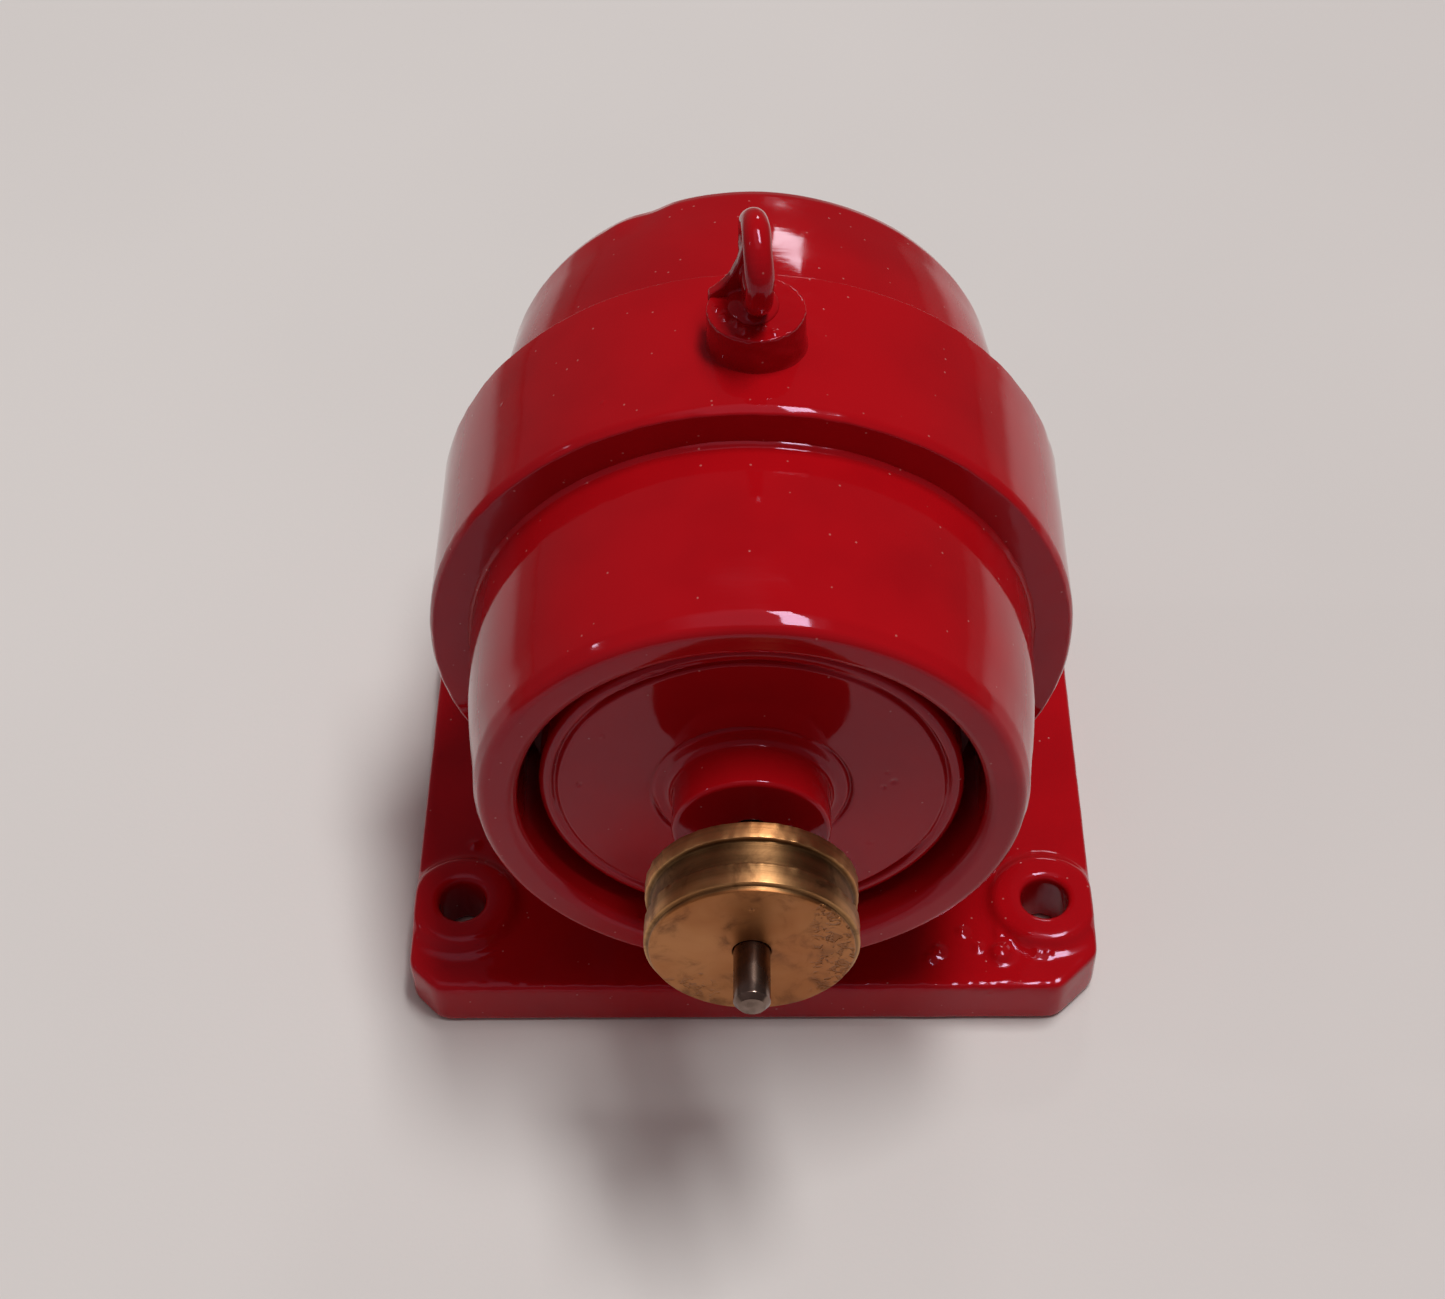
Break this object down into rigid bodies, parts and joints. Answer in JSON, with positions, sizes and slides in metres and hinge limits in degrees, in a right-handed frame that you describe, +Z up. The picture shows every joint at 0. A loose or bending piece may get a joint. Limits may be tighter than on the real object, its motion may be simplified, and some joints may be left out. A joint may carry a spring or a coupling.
{
  "type": "model dynamo",
  "caption": "Small red bench-top dynamo: two drums in a thick ring on a flat base, lifting eye on top, brass belt pulley on the front shaft.",
  "frame": {"origin": "centre of the base plate's underside", "axes": "+Z up, +Y to the back along the shaft axis (the pulley is at the front, -Y), +X to the right seen from the pulley"},
  "size_m": [0.0502, 0.0565, 0.0576],
  "materials": {
    "casing_enamel": "thick glossy red enamel over turned and milled metal",
    "pulley_brass": "turned, tarnished and handled",
    "shaft_steel": "ground steel, slightly dulled",
    "screw_steel": "blackened steel",
    "terminal_brass": "plain brass strip",
    "cap_plastic": "moulded black plastic",
    "packing_rubber": "dull black sheet rubber",
    "magnet_ferrite": "dark grey sintered ferrite",
    "clip_steel": "spring steel",
    "lamination_steel": "stacked electrical steel",
    "copper_wire": "enamelled copper wire",
    "commutator_copper": "copper, burnished where the brushes run",
    "bearing_bronze": "oil-filled sintered bronze",
    "spring_bronze": "phosphor bronze leaf",
    "brush_carbon": "carbon",
    "washer_fibre": "vulcanised fibre"
  },
  "bodies": {
    "casing": {"base_plate": "casing_enamel", "field_ring": "casing_enamel", "front_drum": "casing_enamel", "rear_drum": "casing_enamel", "eye_collar": "casing_enamel", "lifting_eye": "casing_enamel", "motor_can": "casing_enamel", "base_screw_left": "screw_steel", "base_screw_right": "screw_steel", "motor_sleeve": "packing_rubber", "motor_end_cap": "cap_plastic", "front_bush": "bearing_bronze", "rear_bush": "bearing_bronze", "magnet_left": "magnet_ferrite", "magnet_right": "magnet_ferrite", "magnet_clip": "clip_steel", "terminal_left": "terminal_brass", "terminal_right": "terminal_brass"},
    "rotor": {"shaft": "shaft_steel", "pulley": "pulley_brass", "armature_core": "lamination_steel", "winding_1": "copper_wire", "winding_2": "copper_wire", "winding_3": "copper_wire", "commutator_hub": "cap_plastic", "commutator_segment_1": "commutator_copper", "commutator_segment_2": "commutator_copper", "commutator_segment_3": "commutator_copper", "front_washer": "washer_fibre", "rear_washer": "washer_fibre"},
    "brush_left": {"brush_arm_left": "spring_bronze", "brush_left": "brush_carbon"},
    "brush_right": {"brush_arm_right": "spring_bronze", "brush_right": "brush_carbon"}
  },
  "joints": [
    {"name": "rotor_spin", "type": "hinge", "parent": "casing", "child": "rotor", "pos_m": [0, 0, 0.026], "axis": [0, 1, 0], "continuous": true},
    {"name": "brush_left_flex", "type": "hinge", "parent": "casing", "child": "brush_left", "pos_m": [-0.0055, 0.01, 0.018], "axis": [0, -1, 0], "range_deg": [0, 4], "stiffness_Nm_per_rad": 0.004, "springref_deg": -5.73},
    {"name": "brush_right_flex", "type": "hinge", "parent": "casing", "child": "brush_right", "pos_m": [0.0055, 0.01, 0.018], "axis": [0, 1, 0], "range_deg": [0, 4], "stiffness_Nm_per_rad": 0.004, "springref_deg": -5.73}
  ]
}
